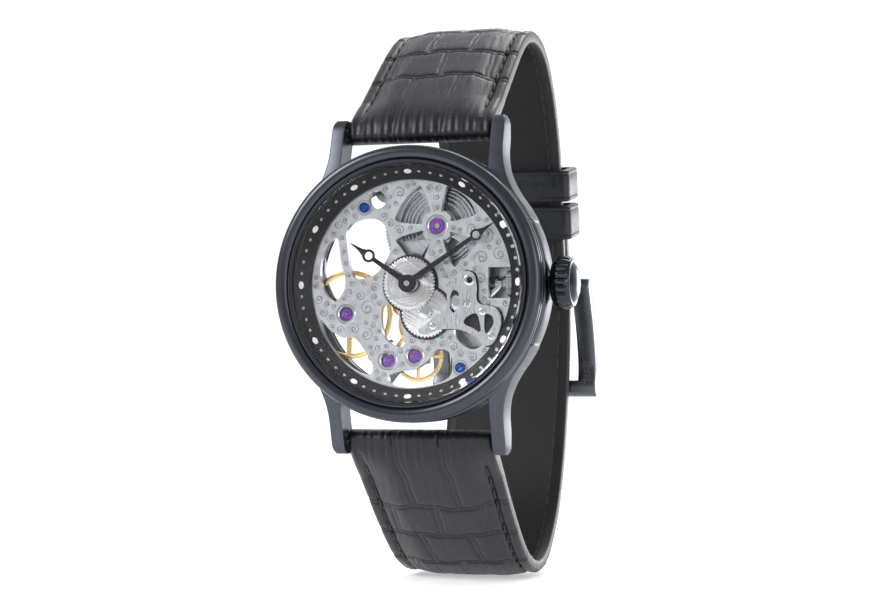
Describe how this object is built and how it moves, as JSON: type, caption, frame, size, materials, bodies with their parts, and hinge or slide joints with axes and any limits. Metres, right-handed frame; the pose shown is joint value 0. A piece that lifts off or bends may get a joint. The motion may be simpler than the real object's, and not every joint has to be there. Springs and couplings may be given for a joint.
{
  "type": "skeleton wristwatch",
  "caption": "Round hand-wound skeleton wristwatch with domed crystal, open-worked movement, fluted crown and buckled leather strap.",
  "frame": {"origin": "centre of the flat face of the case back, the face that lies on the wrist", "axes": "+Z towards 12 o'clock, +X towards the crown at 3 o'clock, +Y from the case back towards the wrist; the dial faces -Y"},
  "size_m": [0.044, 0.0678, 0.0862],
  "materials": {
    "black_steel": "satin black PVD-coated stainless steel",
    "satin_steel": "satin rhodium-plated movement steel with engraving",
    "polished_steel": "polished hardened steel",
    "gilt_brass": "gilt brass wheels, brushed",
    "ruby": "polished synthetic ruby, violet by transmitted light",
    "blued_steel": "heat-blued polished steel",
    "sapphire_glass": "clear polished watch crystal",
    "dial_black": "semi-matt black lacquer with pale dots",
    "gasket_rubber": "black sealing rubber",
    "spring_steel": "grey spring steel",
    "black_leather": "black crocodile-embossed calf leather, stitched"
  },
  "bodies": {
    "case": {"case_middle": "black_steel", "bezel": "black_steel", "front_crystal": "sapphire_glass", "crystal_gasket": "gasket_rubber", "chapter_ring": "dial_black", "case_back": "black_steel", "back_crystal": "sapphire_glass", "crown_tube": "black_steel", "upper_spring_bar": "satin_steel", "lower_spring_bar": "satin_steel", "mainplate": "satin_steel", "barrel_bridge": "satin_steel", "train_bridge": "satin_steel", "balance_cock": "satin_steel", "pallet_bridge": "satin_steel", "keyless_cover": "satin_steel", "barrel_jewel": "ruby", "fourth_jewel": "ruby", "escape_jewel": "ruby", "balance_jewel": "ruby", "dial_screw_upper": "blued_steel", "dial_screw_lower": "blued_steel", "cover_screw": "polished_steel", "barrel_bridge_screw_1": "blued_steel", "barrel_bridge_screw_2": "blued_steel", "train_bridge_screw_1": "blued_steel", "train_bridge_screw_2": "blued_steel", "balance_cock_screw": "blued_steel", "hairspring": "blued_steel", "upper_strap": "black_leather", "lower_strap": "black_leather", "fixed_keeper": "black_leather", "buckle_bar": "satin_steel"},
    "winding": {"winding_pinion": "polished_steel"},
    "crown": {"crown": "black_steel", "winding_stem": "polished_steel"},
    "clutch": {"sliding_clutch": "polished_steel"},
    "setting_lever": {"setting_lever": "satin_steel"},
    "yoke": {"yoke": "satin_steel"},
    "crown_wheel": {"crown_wheel": "satin_steel"},
    "ratchet": {"ratchet_wheel": "satin_steel", "barrel_arbor": "polished_steel"},
    "click": {"click": "satin_steel"},
    "barrel": {"barrel_drum": "satin_steel", "mainspring": "spring_steel"},
    "centre": {"centre_wheel": "gilt_brass", "cannon_pinion": "satin_steel", "minute_hand": "dial_black"},
    "minute_wheel": {"minute_wheel": "satin_steel"},
    "hour": {"hour_wheel": "satin_steel", "hour_hand": "dial_black"},
    "setting_wheel": {"setting_wheel": "satin_steel"},
    "third": {"third_wheel": "gilt_brass"},
    "fourth": {"fourth_wheel": "gilt_brass"},
    "escape": {"escape_wheel": "polished_steel"},
    "pallet": {"pallet_fork": "polished_steel"},
    "balance": {"balance_wheel": "gilt_brass"},
    "free_keeper": {"free_keeper": "black_leather"},
    "buckle": {"buckle_frame": "black_steel"},
    "tongue": {"buckle_tongue": "black_steel"}
  },
  "joints": [
    {"name": "crown_turn", "type": "hinge", "parent": "case", "child": "winding", "pos_m": [0.014, -0.0043, 0], "axis": [1, 0, 0], "continuous": true},
    {"name": "crown_pull", "type": "slide", "parent": "winding", "child": "crown", "axis": [1, 0, 0], "range_m": [0, 0.0008]},
    {"name": "clutch_slide", "type": "slide", "parent": "winding", "child": "clutch", "axis": [1, 0, 0], "range_m": [-0.0006, 0]},
    {"name": "setting_lever_turn", "type": "hinge", "parent": "case", "child": "setting_lever", "pos_m": [0.0132, -0.00535, 0.004], "axis": [0, -1, 0], "range_deg": [0, 11.5]},
    {"name": "yoke_turn", "type": "hinge", "parent": "case", "child": "yoke", "pos_m": [0.0096, -0.0055, -0.0034], "axis": [0, -1, 0], "range_deg": [0, 10.2]},
    {"name": "crown_wheel_turn", "type": "hinge", "parent": "case", "child": "crown_wheel", "pos_m": [0.0111, -0.00172, 0], "axis": [0, -1, 0], "continuous": true},
    {"name": "ratchet_turn", "type": "hinge", "parent": "case", "child": "ratchet", "pos_m": [0.00395, -0.00172, 0.00823], "axis": [0, -1, 0], "continuous": true},
    {"name": "click_turn", "type": "hinge", "parent": "case", "child": "click", "pos_m": [0.0124, -0.00172, 0.00515], "axis": [0, -1, 0], "range_deg": [-2, 8]},
    {"name": "hand_turn", "type": "hinge", "parent": "case", "child": "centre", "pos_m": [0, -0.0036, 0], "axis": [0, 1, 0], "continuous": true},
    {"name": "barrel_turn", "type": "hinge", "parent": "case", "child": "barrel", "pos_m": [0.00395, -0.00415, 0.00823], "axis": [0, 1, 0], "continuous": true},
    {"name": "minute_wheel_turn", "type": "hinge", "parent": "case", "child": "minute_wheel", "pos_m": [0.00238, -0.00715, -0.00411], "axis": [0, 1, 0], "continuous": true},
    {"name": "hour_turn", "type": "hinge", "parent": "case", "child": "hour", "pos_m": [0, -0.0076, 0], "axis": [0, 1, 0], "continuous": true},
    {"name": "setting_wheel_turn", "type": "hinge", "parent": "case", "child": "setting_wheel", "pos_m": [0.00686, -0.00715, -0.0028], "axis": [0, 1, 0], "continuous": true},
    {"name": "third_turn", "type": "hinge", "parent": "case", "child": "third", "pos_m": [0.0017, -0.00435, -0.0056], "axis": [0, 1, 0], "continuous": true},
    {"name": "fourth_turn", "type": "hinge", "parent": "case", "child": "fourth", "pos_m": [0.0006, -0.00495, -0.0103], "axis": [0, 1, 0], "continuous": true},
    {"name": "escape_turn", "type": "hinge", "parent": "case", "child": "escape", "pos_m": [-0.0034, -0.0042, -0.0109], "axis": [0, 1, 0], "continuous": true},
    {"name": "pallet_turn", "type": "hinge", "parent": "case", "child": "pallet", "pos_m": [-0.00545, -0.0042, -0.00875], "axis": [0, -1, 0], "range_deg": [-5, 5]},
    {"name": "balance_turn", "type": "hinge", "parent": "case", "child": "balance", "pos_m": [-0.0097, -0.00475, -0.0042], "axis": [0, -1, 0], "range_deg": [-270, 270]},
    {"name": "keeper_slide", "type": "slide", "parent": "case", "child": "free_keeper", "axis": [0, -0.187, 0.9824], "range_m": [0, 0.002]},
    {"name": "buckle_turn", "type": "hinge", "parent": "case", "child": "buckle", "pos_m": [0, 0.04875, 0.0022], "axis": [1, 0, 0], "range_deg": [0, 20]},
    {"name": "tongue_turn", "type": "hinge", "parent": "buckle", "child": "tongue", "pos_m": [0, 0.04875, 0.0022], "axis": [1, 0, 0], "range_deg": [0, 10]}
  ],
  "couplings": [
    {"joint": "clutch_slide", "follows": "crown_pull", "ratio": -0.75},
    {"joint": "setting_lever_turn", "follows": "crown_pull", "rad_per_m": 250},
    {"joint": "yoke_turn", "follows": "crown_pull", "rad_per_m": 220},
    {"joint": "crown_wheel_turn", "follows": "crown_turn", "ratio": 0.5},
    {"joint": "ratchet_turn", "follows": "crown_turn", "ratio": -0.25806},
    {"joint": "barrel_turn", "follows": "hand_turn", "ratio": -0.125},
    {"joint": "minute_wheel_turn", "follows": "hand_turn", "ratio": -0.33333},
    {"joint": "hour_turn", "follows": "hand_turn", "ratio": 0.083333},
    {"joint": "setting_wheel_turn", "follows": "hand_turn", "ratio": 1.0769},
    {"joint": "third_turn", "follows": "hand_turn", "ratio": -8},
    {"joint": "fourth_turn", "follows": "hand_turn", "ratio": 60},
    {"joint": "escape_turn", "follows": "hand_turn", "ratio": -600}
  ]
}
